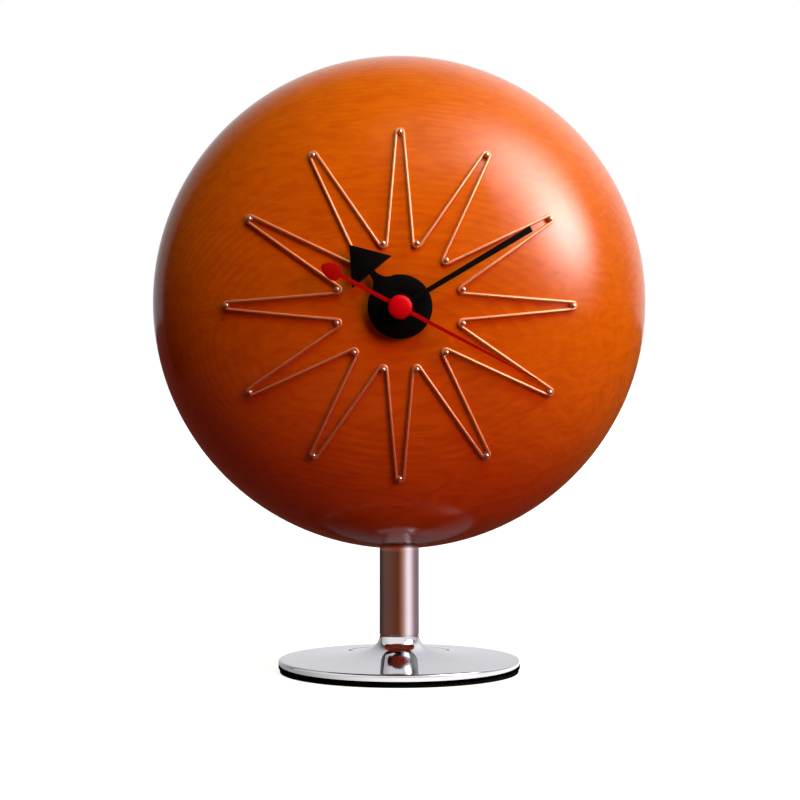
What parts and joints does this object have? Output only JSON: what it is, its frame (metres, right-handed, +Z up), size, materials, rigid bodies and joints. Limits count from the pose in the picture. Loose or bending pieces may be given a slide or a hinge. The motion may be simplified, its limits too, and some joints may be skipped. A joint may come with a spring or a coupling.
{
  "type": "table clock",
  "caption": "Lens-shaped lacquered wood table clock on a chrome pedestal, with a bent-wire star dial, hour, minute and second hands and a battery movement in a rear bay.",
  "frame": {"origin": "centre of the foot pad's underside, on the table", "axes": "+Z up, dial faces -Y, +X to the right as seen from the front"},
  "size_m": [0.15, 0.0922, 0.188],
  "materials": {
    "lacquered_wood": "gloss lacquer over orange-brown cherry",
    "chrome": "polished chrome plate",
    "nickel_wire": "bright nickel wire and pins",
    "steel": "plain zinc-plated steel",
    "brass": "turned brass",
    "copper_winding": "enamelled copper wire",
    "foot_rubber": "matte black rubber",
    "case_plastic": "fine spark texture",
    "wheel_plastic": "natural acetal",
    "board_laminate": "green solder mask",
    "battery_jacket": "plain dark printed jacket, no lettering",
    "black_hand": "matte black paint",
    "red_hand": "satin red paint",
    "red_cap": "gloss red"
  },
  "bodies": {
    "clock_body": {"front_shell": "lacquered_wood", "rear_shell": "lacquered_wood", "shell_dowel_left": "lacquered_wood", "shell_dowel_right": "lacquered_wood", "base_plate": "chrome", "stem_tube": "chrome", "dial_wire": "nickel_wire", "dial_pin_outer_01": "nickel_wire", "dial_pin_outer_02": "nickel_wire", "dial_pin_outer_03": "nickel_wire", "dial_pin_outer_04": "nickel_wire", "dial_pin_outer_05": "nickel_wire", "dial_pin_outer_06": "nickel_wire", "dial_pin_outer_07": "nickel_wire", "dial_pin_outer_08": "nickel_wire", "dial_pin_outer_09": "nickel_wire", "dial_pin_outer_10": "nickel_wire", "dial_pin_outer_11": "nickel_wire", "dial_pin_outer_12": "nickel_wire", "dial_pin_inner_01": "nickel_wire", "dial_pin_inner_02": "nickel_wire", "dial_pin_inner_03": "nickel_wire", "dial_pin_inner_04": "nickel_wire", "dial_pin_inner_05": "nickel_wire", "dial_pin_inner_06": "nickel_wire", "dial_pin_inner_07": "nickel_wire", "dial_pin_inner_08": "nickel_wire", "dial_pin_inner_09": "nickel_wire", "dial_pin_inner_10": "nickel_wire", "dial_pin_inner_11": "nickel_wire", "dial_pin_inner_12": "nickel_wire", "tie_rod": "steel", "base_nut": "steel", "stem_seat_washer": "steel", "mounting_washer": "steel", "stator": "steel", "battery_contact_positive": "steel", "battery_contact_negative": "steel", "threaded_insert": "brass", "mounting_nut": "brass", "coil": "copper_winding", "foot_pad": "foot_rubber", "mounting_gasket": "foot_rubber", "movement_front_case": "case_plastic", "movement_rear_case": "case_plastic", "circuit_board": "board_laminate"},
    "minute_train": {"minute_hand": "black_hand", "minute_arbor": "brass"},
    "reduction_set": {"reduction_wheel": "wheel_plastic"},
    "hour_train": {"hour_hand": "black_hand", "hour_wheel": "wheel_plastic"},
    "knob_set": {"setting_knob": "wheel_plastic"},
    "second_train": {"second_hand": "red_hand", "second_hand_cap": "red_cap", "seconds_wheel": "wheel_plastic"},
    "third_set": {"third_wheel": "wheel_plastic"},
    "centre_set": {"centre_wheel": "wheel_plastic"},
    "intermediate_set": {"intermediate_wheel": "wheel_plastic"},
    "rotor_set": {"rotor": "steel"},
    "battery_set": {"battery": "battery_jacket"}
  },
  "joints": [
    {"name": "minute_spin", "type": "hinge", "parent": "clock_body", "child": "minute_train", "pos_m": [0, 0, 0.113], "axis": [0, 1, 0], "continuous": true},
    {"name": "reduction_spin", "type": "hinge", "parent": "clock_body", "child": "reduction_set", "pos_m": [0.01015, 0, 0.11669], "axis": [0, 1, 0], "continuous": true},
    {"name": "hour_spin", "type": "hinge", "parent": "clock_body", "child": "hour_train", "pos_m": [0, 0, 0.113], "axis": [0, 1, 0], "continuous": true},
    {"name": "knob_spin", "type": "hinge", "parent": "clock_body", "child": "knob_set", "pos_m": [0.01842, 0, 0.12364], "axis": [0, 1, 0], "continuous": true},
    {"name": "second_spin", "type": "hinge", "parent": "clock_body", "child": "second_train", "pos_m": [0, 0, 0.113], "axis": [0, 1, 0], "continuous": true},
    {"name": "third_spin", "type": "hinge", "parent": "clock_body", "child": "third_set", "pos_m": [-0.00827, 0, 0.11994], "axis": [0, 1, 0], "continuous": true},
    {"name": "centre_spin", "type": "hinge", "parent": "clock_body", "child": "centre_set", "pos_m": [0, 0, 0.113], "axis": [0, 1, 0], "continuous": true},
    {"name": "intermediate_spin", "type": "hinge", "parent": "clock_body", "child": "intermediate_set", "pos_m": [0.0029, 0, 0.12382], "axis": [0, 1, 0], "continuous": true},
    {"name": "rotor_spin", "type": "hinge", "parent": "clock_body", "child": "rotor_set", "pos_m": [-0.00094, 0, 0.13047], "axis": [0, 1, 0], "continuous": true},
    {"name": "battery_slide", "type": "slide", "parent": "clock_body", "child": "battery_set", "axis": [0, 1, 0], "range_m": [0, 0.03]}
  ],
  "couplings": [
    {"joint": "reduction_spin", "follows": "minute_spin", "ratio": -0.33333},
    {"joint": "hour_spin", "follows": "minute_spin", "ratio": 0.083333},
    {"joint": "knob_spin", "follows": "minute_spin", "ratio": 1},
    {"joint": "third_spin", "follows": "second_spin", "ratio": -0.13333},
    {"joint": "centre_spin", "follows": "second_spin", "ratio": 0.016667},
    {"joint": "intermediate_spin", "follows": "second_spin", "ratio": -6},
    {"joint": "rotor_spin", "follows": "second_spin", "ratio": 30}
  ]
}
